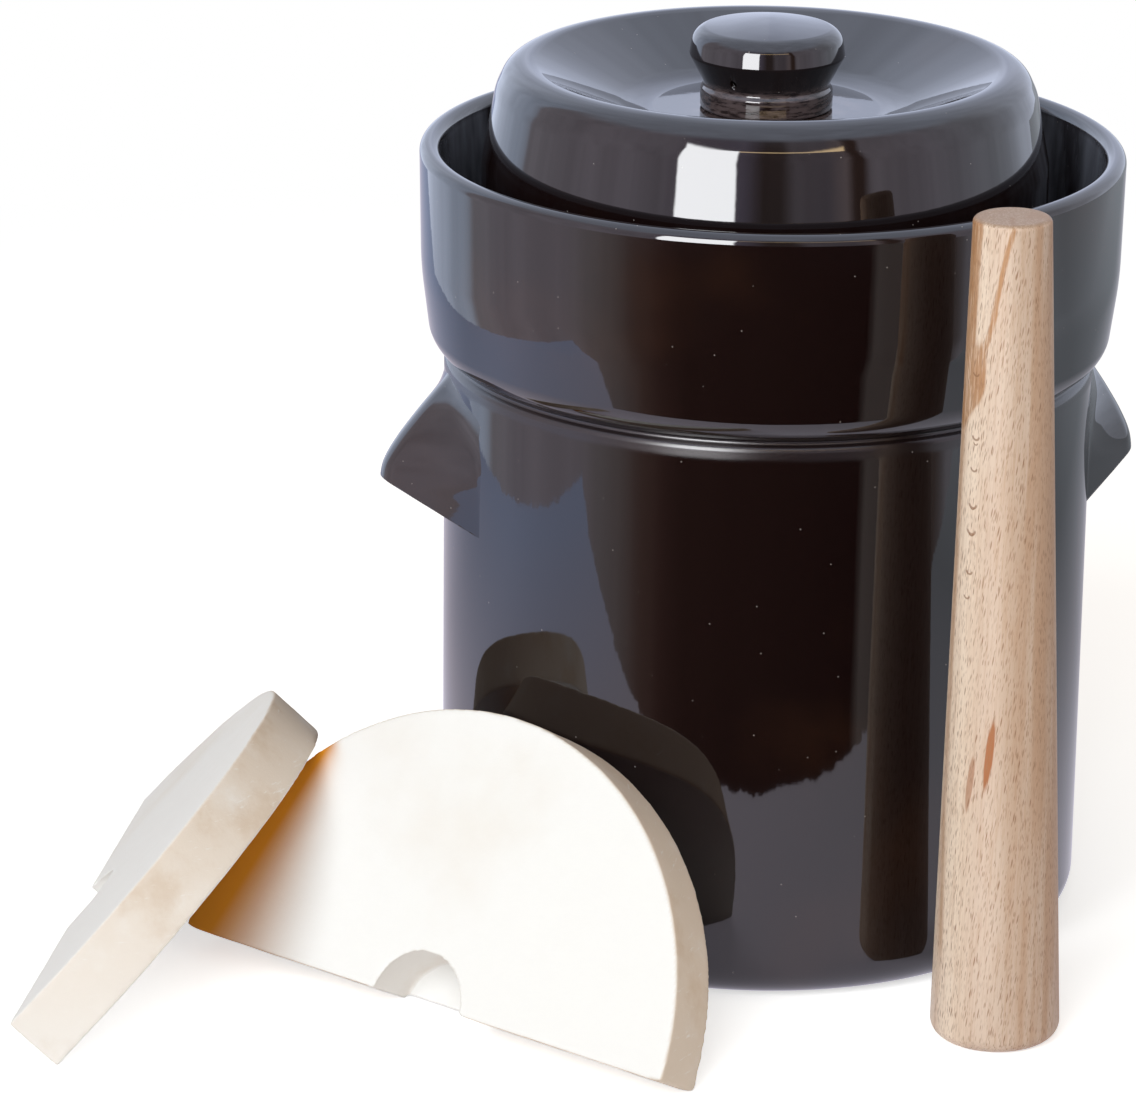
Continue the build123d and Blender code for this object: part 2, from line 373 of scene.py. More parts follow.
def makeCrock(c):
    rim, throatRim = c["collarWall"] * c["rimShare"], c["throatWall"] * c["rimShare"]
    bore, throatBore = c["bodyRadius"] - c["bodyWall"], c["throatRadius"] - c["throatWall"]
    return turned([
        (0, 0, 0),
        (c["bodyRadius"], 0, c["baseRounding"]),
        (c["bodyRadius"], c["ridgeHeight"], c["ridgeRounding"]),
        (c["bodyRadius"] - c["grooveDepth"], c["grooveHeight"], c["grooveRounding"]),
        (c["collarFootRadius"], c["collarFootHeight"], c["collarFootRounding"]),
        (c["collarWaistRadius"], c["collarWaistHeight"], c["collarWaistRounding"]),
        (rimRadius, rimHeight, rim),
        (rimRadius - c["rimTopWidth"], rimHeight, c["rimInnerRounding"]),
        (c["flareRadius"], c["flareHeight"], c["flareRounding"]),
        (c["collarFootRadius"] - c["collarWall"], c["channelFloor"], c["channelRounding"]),
        (c["throatRadius"], c["channelFloor"], c["throatFootRounding"]),
        (c["throatRadius"], c["throatHeight"], throatRim),
        (throatBore, c["throatHeight"], throatRim),
        (throatBore, c["ceilingHeight"], c["shoulderRounding"]),
        (bore, c["ceilingHeight"] - c["shoulderDrop"], c["shoulderRounding"]),
        (bore, c["baseThickness"], c["innerRounding"]),
        (0, c["baseThickness"], 0),
    ])


finished("crockBody", makeCrock(crock), darkGlaze, "crock", ["crock_body"])
print("crock")

# Lid: a bell with a dished top, a little off centre, and a hollow knob
lidLow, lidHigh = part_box("lid_shell")
lid = {
    "shift": (lidLow.x + lidHigh.x) / 2,
    "radius": (lidHigh.x - lidLow.x) / 2,
    "growth": 0.0009,                 # of that radius
    "foot": lidLow.z,
    "skirtHeight": 0.249,             # where the skirt starts to lean in
    "skirtRounding": 0.014,
    "shoulderRadius": 0.0866,
    "shoulderHeight": 0.2716,
    "shoulderRounding": 0.015,
    "crestRadius": 0.0811,
    "crestHeight": 0.2834,
    "crestRounding": 0.0085,
    "wall": 0.0062,
    "footRounding": 0.0021,
    "footReach": 0.0006,              # what lies this close to the foot is an edge of it,
    "footAcross": 0.002,              # unless it runs across the wall
    "dishDepth": 0.0174,
    "dishFloorRadius": 0.042,
    "dishRounding": 0.030,
}


def makeLid(v):
    dish, skirt = v["crestHeight"] - v["dishDepth"], v["radius"] + v["growth"]
    mesh = turned([
        (skirt, v["foot"], 0),
        (skirt, v["skirtHeight"], v["skirtRounding"]),
        (v["shoulderRadius"], v["shoulderHeight"], v["shoulderRounding"]),
        (v["crestRadius"], v["crestHeight"], v["crestRounding"]),
        (v["dishFloorRadius"], dish, v["dishRounding"]),
        (0, dish, 0),
    ], closed=False, shift=v["shift"])
    bmesh.ops.recalc_face_normals(mesh, faces=mesh.faces)
    face = mesh.faces[0]
    outward = face.normal.dot(face.calc_center_median() - Vector((0, 0, v["foot"]))) > 0
    bmesh.ops.solidify(mesh, geom=mesh.faces[:], thickness=v["wall"] if outward else -v["wall"])
    footEdges = [edge for edge in mesh.edges
                 if all(abs(vert.co.z - v["foot"]) < v["footReach"] for vert in edge.verts)
                 and abs(edge.verts[0].co.xy.length - edge.verts[1].co.xy.length) < v["footAcross"]]
    beveled(mesh, footEdges, v["footRounding"])
    return mesh


finished("lidShell", makeLid(lid), darkGlaze, "lid", ["lid_shell"])

knobLow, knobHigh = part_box("lid_knob")
knob = {
    "base": knobLow.z,
    "shift": (knobLow.x + knobHigh.x) / 2,
    "steps": 128,
    "footRadius": 0.0212,
    "footHeight": 0.0064,
    "neckRadius": 0.020,
    "neckHeight": 0.008,
    "radius": 0.0249,
    "widestHeight": 0.0174,
    "topRadius": 0.0236,
    "topHeight": 0.0256,
    "height": knobHigh.z - knobLow.z,
    "wall": 0.005,
    "edgeRounding": 0.0012,
    "topRounding": 0.0055,
    "creaseRounding": 0.0016,
    "ventRadius": 0.0013,
    "ventHeight": 0.0116,
    "ventDegrees": 241.0,
    "ventSteps": 32,
}


def makeKnob(k):
    base, hollow = k["base"], k["neckRadius"] - k["wall"]
    return turned([
        (k["footRadius"], base, k["edgeRounding"]),
        (k["footRadius"], base + k["footHeight"], k["edgeRounding"]),
        (k["neckRadius"], base + k["neckHeight"], k["edgeRounding"]),
        (k["radius"], base + k["widestHeight"], k["creaseRounding"]),
        (k["topRadius"], base + k["topHeight"], k["topRounding"]),
        (0, base + k["height"], 0),
        (0, base + k["height"] - k["wall"], 0),
        (k["topRadius"] - k["wall"], base + k["topHeight"] - k["wall"], k["edgeRounding"]),
        (k["radius"] - k["wall"], base + k["widestHeight"], k["creaseRounding"]),
        (hollow, base + k["neckHeight"], k["edgeRounding"]),
        (hollow, base, 0),
    ], shift=k["shift"], steps=k["steps"])


def drillVent(piece, k):
    angle = math.radians(k["ventDegrees"])
    across = Vector((math.cos(angle), math.sin(angle), 0))
    middle = Vector((k["shift"], 0, k["base"] + k["ventHeight"])) + across * k["neckRadius"]
    place = Matrix.Translation(middle) @ across.to_track_quat("Z", "Y").to_matrix().to_4x4()
    drill = bmesh.new()
    bmesh.ops.create_cone(drill, cap_ends=True, segments=k["ventSteps"], radius1=k["ventRadius"],
                          radius2=k["ventRadius"], depth=k["neckRadius"], matrix=place)
    cutWith(piece, objectOf("ventDrill", drill), "vent")


knobPiece = finished("lidKnob", makeKnob(knob), darkGlaze, "lid", ["lid_knob"])
drillVent(knobPiece, knob)
print("lid")

# Handles: hollow hoods, faired onto the body, open below. A share counts up from the lip to the top.
hood = {
    "topHeight": 0.1826,
    "sunk": 0.0004,                   # how far the skin beside a handle lies inside the body
    "fairings": ((-0.2, 0.0006), (0.15, 0.0009), (0.5, 0.0016), (0.75, 0.0032), (0.9, 0.0030), (1.0, 0.0008)),
    "sideFade": 0.2,                  # share of the span over which the fairing runs out
    "hollow": 0.0001,                 # how far each flank dips in, next to the body
    "hollowGain": 17.7,               # brings the highest value of p * (1 - p) ** 6 to 1
    "hollowPower": 6,
    "hollowShare": 0.10,
    "hollowSpread": 0.28,
    "leastReach": 0.001,
    "wall": 0.006,
    "tipRounding": 0.009,
    "lipRise": 0.0115,
    "lipRounding": 0.0018,
    "lipDepth": 0.001,                # edges of the lip that lie deeper in the body stay sharp
    "spanDegrees": 31.0,              # to each side of the tip
    "across": 132,
    "upward": 110,
    # share, reach as a share of the handle's own, and slope of the flanks
    "sections": ((-0.14, 1.14, 1.05), (0.01, 1.12, 1.035), (0.18, 1.08, 1.004), (0.34, 1.01, 0.945),
                 (0.51, 0.79, 0.775), (0.685, 0.51, 0.60), (0.86, 0.20, 0.37), (1.00, -0.03, 0.34)),
}
handles = {
    "handleRight": {"node": "handle_right", "degrees": 9.5, "reach": 0.0191, "height": 0.0435},
    "handleLeft": {"node": "handle_left", "degrees": 193.3, "reach": 0.0243, "height": 0.0445},
}


def throughSections(share, column):
    rows = hood["sections"]
    index = max(1, sum(row[0] < share for row in rows[1:-1]) + 1)
    low, high = rows[index - 1], rows[index]
    before, after = rows[max(index - 2, 0)], rows[min(index + 1, len(rows) - 1)]
    span = high[0] - low[0]
    t = (share - low[0]) / span
    startSlope = (high[column] - before[column]) / (high[0] - before[0]) * span
    endSlope = (after[column] - low[column]) / (after[0] - low[0]) * span
    return ((2 * t**3 - 3 * t**2 + 1) * low[column] + (t**3 - 2 * t**2 + t) * startSlope
            + (3 * t**2 - 2 * t**3) * high[column] + (t**3 - t**2) * endSlope)


def stepped(rows, value):
    index = max(1, min(len(rows) - 1, sum(row[0] < value for row in rows)))
    low, high = rows[index - 1], rows[index]
    share = (value - low[0]) / (high[0] - low[0])
    return low[1] + (high[1] - low[1]) * share * share * (3 - 2 * share)


def hoodRadius(angle, tip, slope):
    rounding = hood["tipRounding"]
    steepness = math.sqrt(1 + slope * slope)
    centre = tip - rounding * steepness
    side = centre * math.sin(angle)
    tangent = math.atan2(rounding * slope / steepness, centre + rounding / steepness)
    if abs(angle) < tangent:
        return centre * math.cos(angle) + math.sqrt(rounding**2 - side**2)
    return tip / (math.cos(angle) + slope * math.sin(abs(angle)))


def smoothLarger(first, second, width):
    overlap = max(width - abs(first - second), 0) / width
    return max(first, second) + overlap * overlap * width / 4


def skinRadius(angle, share, sideways, reach):
    body, floor = crock["bodyRadius"], crock["bodyRadius"] - hood["sunk"]
    tip = body + reach * throughSections(share, 1)
    outer = hoodRadius(angle, tip, throughSections(share, 2))
    proud = max(0, min(1, (outer - body) / max(tip - body, hood["leastReach"])))
    dip = (hood["hollow"] * hood["hollowGain"] * proud * (1 - proud) ** hood["hollowPower"]
           * math.exp(-((share - hood["hollowShare"]) / hood["hollowSpread"]) ** 2))
    radius = smoothLarger(outer - dip, floor, stepped(hood["fairings"], share))
    sideFade = min(1, (1 - abs(sideways)) / hood["sideFade"])
    return floor + (radius - floor) * sideFade * (2 - sideFade)


def makeHandle(h):
    mesh = bmesh.new()
    bmesh.ops.create_grid(mesh, x_segments=hood["across"], y_segments=hood["upward"], size=1)
    lipHeight = hood["topHeight"] - h["height"]
    firstShare = hood["sections"][0][0]
    for vert in mesh.verts:
        angle = math.radians(hood["spanDegrees"]) * vert.co.x
        share = firstShare + (1 - firstShare) * (vert.co.y + 1) / 2
        radius = skinRadius(angle, share, vert.co.x, h["reach"])
        vert.co = (radius * math.cos(angle), radius * math.sin(angle), lipHeight + h["height"] * share)
    bmesh.ops.recalc_face_normals(mesh, faces=mesh.faces)
    mesh.faces.ensure_lookup_table()
    outward = 1 if mesh.faces[0].normal.x > 0 else -1
    bmesh.ops.solidify(mesh, geom=mesh.faces[:], thickness=outward * hood["wall"])
    lipNormal = Vector((hood["lipRise"], 0, -h["reach"])).normalized()
    cut = bmesh.ops.bisect_plane(mesh, geom=everything(mesh), dist=shared["hair"], clear_outer=True,
                                 plane_co=(crock["bodyRadius"], 0, lipHeight), plane_no=lipNormal)
    lipEdges = cutEdges(cut)
    bmesh.ops.edgeloop_fill(mesh, edges=lipEdges)
    shownEdges = [edge for edge in lipEdges if edge.is_valid
                  and all(vert.co.xy.length > crock["bodyRadius"] - hood["lipDepth"] for vert in edge.verts)]
    beveled(mesh, shownEdges, hood["lipRounding"], clamp_overlap=True)
    bmesh.ops.rotate(mesh, verts=mesh.verts, cent=(0, 0, 0),
                     matrix=Matrix.Rotation(math.radians(h["degrees"]), 3, "Z"))
    return mesh


for name, values in handles.items():
    finished(name, makeHandle(values), darkGlaze, "crock", [values["node"]])
print("handles")

# Weight stones: half discs of bare clay, each with a notch for a finger
stone = {
    "radius": 0.0964,
    "kerf": 0.004,
    "thickness": 0.020,
    "segments": 192,
    "endReach": 0.000001,             # how close to the straight edge an end of the arc lies
    "endRounding": 0.0045,
    "endSegments": 6,
    "notchRadius": 0.0174,
    "notchDrop": 0.0008,
    "notchSteps": 64,
    "rounding": 0.0024,
    "roundingSegments": 4,
    "sharpDegrees": 35,               # an edge that turns more is rounded
    "voxel": 0.00085,
    "uneven": 0.00035,
    "unevenScale": 0.012,
    "unevenDetail": 2,
    "smoothings": 3,
    "smoothShare": 0.5,
}
# Each stone's under face: origin, the way along its straight edge, and the way up the face. Its rim's painted
# shade is lighter below a height, and warmth says whether the painted shade and warm bounce light between the
# stones shows on it.
stonePlaces = {
    "stoneFront": {
        "node": "weight_stone_front", "body": "front_stone", "paleBelow": 0.0, "warmth": 1.0,
        "origin": (-0.09554, -0.11798, -0.00066), "along": (0.8100, -0.5864, 0),
        "upward": (0.2923, 0.4038, 0.8669)},
    "stoneLeaning": {
        "node": "weight_stone_leaning", "body": "leaning_stone", "paleBelow": 0.085, "warmth": 0.0,
        "origin": (-0.20424, -0.07168, -0.00074), "along": (-0.1028, -0.9947, 0),
        "upward": (0.6565, -0.0678, 0.7513)},
}
clay = {
    "faceColour": (0.90, 0.90, 0.895),
    # the rim's tan, partly painted shade where the rim turns away from the light
    "rimTanAndShadeColour": (0.74, 0.63, 0.525),
    "mottleNoise": (45.0, 5.0, 0.6),
    "mottleShown": (-0.1, 0.5),
    "blotchColour": (0.60, 0.44, 0.30),
    "blotchNoise": (26.0, 5.0, 0.65),
    "blotchShown": (0.50, 0.70),
    "blotchShare": 0.6,
    "stainColour": (0.72, 0.60, 0.46),
    "stainNoise": (14.0, 4.0),
    "stainShown": (0.5, 0.8),
    "stainShare": 0.22,
    "scuffNoise": (120.0, 4.0, 0.7),
    "scuffSquash": 6,
    "scuffShown": (0.6, 0.72),
    "scuffShare": 0.5,
    "rimFrom": 0.97,                  # of a normal across the face, where the rim's colour starts
    "rimOver": 0.5,
    "notchShare": 0.3,                # of the rim's colour, in the notch
    "paleShare": 0.30,                # and at the foot of a rim that is paler there
    "leastHeight": 0.001,
    "paintedWarmShadeColour": (0.63, 0.24, 0.012),   # painted shade and warm bounce light, where the stones lean together
    "warmReach": 0.0012,
    "warmSpread": 0.37,               # more reach for each metre below the place where they touch
    "warmGain": 1.2,
    "warmPower": 3,
    "touchHeight": 0.080,
    "roughness": 0.82,
    "specular": 0.25,
    "poreNoise": (900.0, 3.0, 0.7),
    "poreDepth": 0.00012,
    "poreStrength": 0.55,
    "lumpNoise": (60.0, 3.0),
    "lumpShare": 2.0,                 # of a pore's depth
}


def stoneMatrix(values):
    along, upward = Vector(values["along"]).normalized(), Vector(values["upward"]).normalized()
    rows = Matrix((along, upward, along.cross(upward))).transposed().to_4x4()
    return Matrix.Translation(values["origin"]) @ rows


def makeStone(s):
    mesh = bmesh.new()
    bmesh.ops.create_circle(mesh, cap_ends=True, segments=s["segments"], radius=s["radius"],
                            matrix=Matrix.Translation((0, -s["kerf"] / 2, 0)))
    bmesh.ops.bisect_plane(mesh, geom=everything(mesh), plane_co=(0, 0, 0), plane_no=(0, -1, 0),
                           clear_outer=True)
    ends = [vert for vert in mesh.verts if abs(vert.co.y) < s["endReach"]]
    beveled(mesh, ends, s["endRounding"], "VERTICES", s["endSegments"])
    made = bmesh.ops.extrude_face_region(mesh, geom=mesh.faces[:])
    top = [item for item in made["geom"] if isinstance(item, bmesh.types.BMVert)]
    bmesh.ops.translate(mesh, verts=top, vec=(0, 0, s["thickness"]))
    bmesh.ops.recalc_face_normals(mesh, faces=mesh.faces)
    return mesh


def makeNotch(s):
    notch = bmesh.new()
    bmesh.ops.create_cone(notch, cap_ends=True, segments=s["notchSteps"], radius1=s["notchRadius"],
                          radius2=s["notchRadius"], depth=s["thickness"] * 2,
                          matrix=Matrix.Translation((0, -s["notchDrop"], s["thickness"] / 2)))
    return notch


def makeClay(c):
    material, tree, surface = newMaterial("bareClay")
    place = placed(tree)
    rim = addNode(tree, "ShaderNodeAttribute", attribute_name="rim").outputs["Fac"]
    warm = addNode(tree, "ShaderNodeAttribute", attribute_name="warm").outputs["Fac"]

    def patches(name, vector):
        return between(tree, noiseOf(tree, vector, *c[name + "Noise"]), *c[name + "Shown"])

    # the rim's tan and painted shade
    colour = tinted(tree, (*c["faceColour"], 1), c["rimTanAndShadeColour"], rim, patches("mottle", place))
    colour = tinted(tree, colour, c["blotchColour"], rim, patches("blotch", place), c["blotchShare"])
    colour = tinted(tree, colour, c["stainColour"], patches("stain", place), c["stainShare"])
    scuffs = patches("scuff", placed(tree, scale=(1, 1, c["scuffSquash"])))
    colour = tinted(tree, colour, c["faceColour"], scuffs, rim, c["scuffShare"])
    # painted shade and warm bounce light where the stones lean together
    colour = tinted(tree, colour, c["paintedWarmShadeColour"], warm)
    lumps = product(tree, noiseOf(tree, place, *c["lumpNoise"]), c["lumpShare"])
    height = calc(tree, "ADD", noiseOf(tree, place, *c["poreNoise"]), lumps)
    bump = bumpOf(tree, height, c["poreStrength"], c["poreDepth"])
    setInputs(tree, surface, {
        "Base Color": colour, "Normal": bump, "Roughness": c["roughness"], "Specular IOR Level": c["specular"]})
    return material


bareClay = makeClay(clay)


def distanceToSlab(point):
    beyond = max(-point.z, point.z - stone["thickness"], 0)
    outside = max(math.hypot(point.x, point.y) - stone["radius"], -point.y, 0)
    return math.hypot(beyond, outside)


def rimShare(vert):
    steep = min(1, max(0, (clay["rimFrom"] - abs(vert.normal.z)) / clay["rimOver"]))
    return steep * (clay["notchShare"] if vert.co.xy.length < stone["notchRadius"] + stone["rounding"] else 1)


# painted shade on a rim, lighter towards the foot of a stone whose rim is paler there
def rimShadeByHeight(height, paleBelow):
    up = min(1, max(0, height / max(paleBelow, clay["leastHeight"])))
    return clay["paleShare"] + (1 - clay["paleShare"]) * up


# painted shade: near the other stone, reaching further below the place where they touch
def warmShare(point, other):
    reach = clay["warmReach"] + clay["warmSpread"] * max(0, clay["touchHeight"] - point.z)
    return min(1, clay["warmGain"] * math.exp(-(distanceToSlab(other @ point) / reach) ** clay["warmPower"]))


def stoneOf(name, values):
    piece = objectOf(name, makeStone(stone))
    cutWith(piece, objectOf(name + "Notch", makeNotch(stone)), "notch")
    applied(piece, "edges", "BEVEL", width=stone["rounding"], segments=stone["roundingSegments"],
            limit_method="ANGLE", angle_limit=math.radians(stone["sharpDegrees"]))
    applied(piece, "even", "REMESH", mode="VOXEL", voxel_size=stone["voxel"])
    lumps = bpy.data.textures.new(name + "Lumps", "CLOUDS")
    lumps.noise_scale, lumps.noise_depth = stone["unevenScale"], stone["unevenDetail"]
    applied(piece, "uneven", "DISPLACE", texture=lumps, strength=stone["uneven"], mid_level=1.0)
    applied(piece, "smooth", "SMOOTH", iterations=stone["smoothings"], factor=stone["smoothShare"])
    rim = piece.data.attributes.new("rim", "FLOAT", "POINT")
    shares = [rimShare(vert) for vert in piece.data.vertices]
    piece.data.transform(stoneMatrix(values))
    rim.data.foreach_set("value", [share * rimShadeByHeight(vert.co.z, values["paleBelow"])
                                   for share, vert in zip(shares, piece.data.vertices)])
    other = stoneMatrix(next(place for key, place in stonePlaces.items() if key != name)).inverted()
    warm = piece.data.attributes.new("warm", "FLOAT", "POINT")
    warmths = [values["warmth"] * warmShare(vert.co, other) for vert in piece.data.vertices]
    warm.data.foreach_set("value", warmths)
    return dressed(piece, bareClay, values["body"], [values["node"]])


for name, values in stonePlaces.items():
    stoneOf(name, values)
print("stones")

# Pounder: a tapered beech stick, leaning a very little because its base isn't quite square
pounder = {
    "length": 0.2646,
    "baseRadius": 0.0204,
    "topRadius": 0.0119,
    "baseRounding": 0.005,
    "topRounding": 0.0018,
    "leanDegrees": 0.8,
    "steps": 128,
    "place": (0.07586, -0.12140),
}
# A grain is its stretch, lean in degrees, detail and roughness. A side is a share of the radius, from -1 on
# the left to 1 on the right, as seen from the front.
beech = {
    "colour": (0.565, 0.41, 0.305),
    "paleColour": (0.645, 0.51, 0.41),
    "broadGrain": ((70, 70, 5), 0.0, 3.0),
    "broadShown": (0.36, 0.64),
    # painted light: paler towards the lit left side, on the front
    "leftLightColour": (0.86, 0.72, 0.585),
    "leftLightSides": (-0.30, -0.80),
    "leftLightShare": 0.8,
    "streakColour": (0.44, 0.245, 0.13),
    "fibreGrain": ((1300, 1300, 45), 3.0, 4.0, 0.65),
    "fibreShown": (0.44, 0.64),
    "fibreShare": 0.30,
    "bandGrain": ((180, 110, 2.8), 1.5, 2.0),
    "bandsShown": (0.44, 0.60),
    "bandSides": (-0.05, 0.65),
    "bandShare": 0.62,
    "fleckColour": (0.27, 0.135, 0.065),
    # flecks: cells in a metre each way, lean in degrees, size in a cell and depth of colour
    "flecks": (((1400, 1400, 160), 9.0, 0.37, 0.95), ((2300, 2300, 330), 7.0, 0.44, 0.75)),
    "fleckEdge": 0.4,
    "markColour": (0.30, 0.090, 0.014),
    # rust marks: across and up in metres, half width, half height, lean in degrees and depth of colour
    "marks": ((-0.0042, 0.0984, 0.0014, 0.0128, 6.5, 0.95), (-0.0098, 0.0885, 0.0010, 0.0102, 6.0, 0.60)),
    "markRagged": 0.8,
    "markShown": (1.05, 0.75),
    "curlColour": (0.24, 0.11, 0.045),
    # small curls down the left side: across, up and radius
    "curls": ((-0.0100, 0.1985, 0.0010), (-0.0100, 0.1965, 0.0006), (-0.0104, 0.1885, 0.0009),
              (-0.0105, 0.1772, 0.0011), (-0.0106, 0.1762, 0.0006), (-0.0108, 0.1690, 0.0012),
              (-0.0108, 0.1680, 0.0007), (-0.0102, 0.2180, 0.0008), (-0.0112, 0.1560, 0.0009),
              (-0.0118, 0.1480, 0.0008)),
    "curlSquash": 0.8,
    "curlRing": (0.62, 1.15, 0.12),
    "curlHalf": (0.3, -0.3),
    "curlShare": 0.75,
    "endColour": (0.35, 0.23, 0.15),
    "endDepths": (0.0012, 0.0004),
    "endShown": (0.1, 0.6),
    "endShare": 0.9,
    "front": (0.001, -0.002),
    "roughness": 0.52,
    "bumpStrength": 0.5,
    "bumpDepth": 0.00005,
}
# Flames of darker grain: a line down the left edge, and near the top a slanted line, a band and their foot
flame = {
    "colour": (0.39, 0.18, 0.062),
    "share": 0.85,
    "edgeGrain": ((90, 90, 22), 0.0, 2.0),
    "edgeShown": (0.3, 0.6),
    "edgeSides": (-1.0, -0.94, 0.03),
    "edgeWiden": -0.05,
    "edgeWidenHeights": (0.10, 0.03),
    "edgeShare": 0.6,
    "wobbleGrain": ((170, 170, 70), 0.0, 3.0),
    "wobble": 0.16,
    "lineSlope": 15.1,                # the line's side is this times its height, plus its start
    "lineStart": -4.004,
    "lineWidths": (0.085, 0.03),
    "lineHeights": (0.222, 0.228),
    "leftSides": (-0.72, -0.84),
    "leftHeights": (0.205, 0.215),
    "footHeights": (0.216, 0.200),
    "footNarrow": -0.36,
    "footSide": -0.56,
    "footEdge": (0.05, -0.05),
    "footSpan": (0.200, 0.2275, 0.002),
    "fibreShown": (0.30, 0.52),
    "topHeights": (0.247, 0.262),
    "topShown": (0.4, 0.6),
    "topShare": 0.4,
}


def makePounder(p):
    mesh = turned([
        (0, 0, 0),
        (p["baseRadius"], 0, p["baseRounding"]),
        (p["topRadius"], p["length"], p["topRounding"]),
        (0, p["length"], 0),
    ], steps=p["steps"])
    lean = math.radians(p["leanDegrees"])
    dip = (p["baseRadius"] - p["baseRounding"]) * math.sin(lean)
    bmesh.ops.rotate(mesh, verts=mesh.verts, cent=(0, 0, 0), matrix=Matrix.Rotation(-lean, 3, "Y"))
    bmesh.ops.translate(mesh, verts=mesh.verts, vec=(*p["place"], -dip))
    cut = bmesh.ops.bisect_plane(mesh, geom=everything(mesh), plane_co=(0, 0, 0), plane_no=(0, 0, -1),
                                 clear_outer=True)
    bmesh.ops.edgeloop_fill(mesh, edges=cutEdges(cut))
    return mesh


def leanedOver(tree, vector, scale, degrees=0.0):
    return mapped(tree, mapped(tree, vector, rotation=(0, -math.radians(degrees), 0)), scale=scale)


def grainOf(tree, vector, scale, degrees, *noise):
    return noiseOf(tree, leanedOver(tree, vector, scale, degrees), 1.0, *noise)


def woodAxes(tree, p):
    x, y = p["place"]
    upright = mapped(tree, placed(tree, (-x, -y, 0)), rotation=(0, math.radians(p["leanDegrees"]), 0))
    across, deep, height = axesOf(tree, upright)
    radius = spread(tree, height, 0.0, p["length"], p["baseRadius"], p["topRadius"])
    return upright, calc(tree, "DIVIDE", across, radius), height, between(tree, deep, *beech["front"])


def withFlames(tree, colour, upright, side, height, front, fibre, broad, f):
    widen = scaled(tree, between(tree, height, *f["edgeWidenHeights"]), f["edgeWiden"], side)
    leftEdge = inside(tree, widen, *f["edgeSides"])
    ragged = between(tree, grainOf(tree, upright, *f["edgeGrain"]), *f["edgeShown"])
    colour = tinted(tree, colour, f["colour"], leftEdge, ragged, front, f["edgeShare"])
    wobble = scaled(tree, grainOf(tree, upright, *f["wobbleGrain"]), f["wobble"], -f["wobble"] / 2)
    bent = calc(tree, "ADD", side, wobble)
    fromLine = calc(tree, "SUBTRACT", bent, scaled(tree, height, f["lineSlope"], f["lineStart"]))
    line = product(tree, between(tree, calc(tree, "ABSOLUTE", fromLine), *f["lineWidths"]),
                   between(tree, height, *f["lineHeights"]))
    left = product(tree, between(tree, bent, *f["leftSides"]), between(tree, height, *f["leftHeights"]))
    footSide = scaled(tree, between(tree, height, *f["footHeights"]), f["footNarrow"], f["footSide"])
    foot = product(tree, between(tree, calc(tree, "SUBTRACT", bent, footSide), *f["footEdge"]),
                   inside(tree, height, *f["footSpan"]))
    shapes = calc(tree, "MAXIMUM", calc(tree, "MAXIMUM", line, left), foot)
    fibres = between(tree, fibre, *f["fibreShown"])
    colour = tinted(tree, colour, f["colour"], shapes, fibres, front, f["share"])
    return tinted(tree, colour, f["colour"], between(tree, height, *f["topHeights"]),
                  between(tree, broad, *f["topShown"]), f["topShare"])


def withMarks(tree, colour, upright, front, fibre, b):
    def centred(across, up):
        return vectorCalc(tree, "SUBTRACT", {0: upright, 1: (across, 0, up)})[0]

    for across, up, half, tall, lean, amount in b["marks"]:
        reach = lengthOf(tree, leanedOver(tree, centred(across, up), (1 / half, 0, 1 / tall), lean))
        ragged = scaled(tree, fibre, b["markRagged"], calc(tree, "ADD", reach, -b["markRagged"] / 2))
        colour = tinted(tree, colour, b["markColour"], between(tree, ragged, *b["markShown"]), front, amount)
    for across, up, size in b["curls"]:
        flat = mapped(tree, centred(across, up), scale=(1 / size, 0, b["curlSquash"] / size))
        ring = inside(tree, lengthOf(tree, flat), *b["curlRing"])
        lowerHalf = between(tree, axesOf(tree, flat)[2], *b["curlHalf"])
        colour = tinted(tree, colour, b["curlColour"], ring, lowerHalf, front, b["curlShare"])
    return colour


def makeBeech(b):
    material, tree, surface = newMaterial("beech")
    upright, side, height, front = woodAxes(tree, pounder)
    broad = grainOf(tree, upright, *b["broadGrain"])
    fibre = grainOf(tree, upright, *b["fibreGrain"])
    colour = tinted(tree, (*b["paleColour"], 1), b["colour"], between(tree, broad, *b["broadShown"]))
    # painted light on the left side
    colour = tinted(tree, colour, b["leftLightColour"], between(tree, side, *b["leftLightSides"]), front, b["leftLightShare"])
    colour = tinted(tree, colour, b["streakColour"], between(tree, fibre, *b["fibreShown"]), b["fibreShare"])
    bands = between(tree, grainOf(tree, upright, *b["bandGrain"]), *b["bandsShown"])
    bandSide = between(tree, side, *b["bandSides"])
    colour = tinted(tree, colour, b["streakColour"], bands, bandSide, b["bandShare"])
    colour = withFlames(tree, colour, upright, side, height, front, fibre, broad, flame)
    colour = withMarks(tree, colour, upright, front, fibre, b)
    for scale, lean, size, amount in b["flecks"]:
        distance, chance = cellsOf(tree, leanedOver(tree, upright, scale, lean), 1.0)
        dash = between(tree, distance, size, size * b["fleckEdge"])
        colour = tinted(tree, colour, b["fleckColour"], dash, chance, amount)
    top = between(tree, height, *(pounder["length"] - depth for depth in b["endDepths"]))
    colour = tinted(tree, colour, b["endColour"], top, between(tree, fibre, *b["endShown"]), b["endShare"])
    bump = bumpOf(tree, fibre, b["bumpStrength"], b["bumpDepth"])
    setInputs(tree, surface, {"Base Color": colour, "Normal": bump, "Roughness": b["roughness"]})
    return material


finished("pounderStick", makePounder(pounder), makeBeech(beech), "pounder", ["pounder"])
print("pounder")

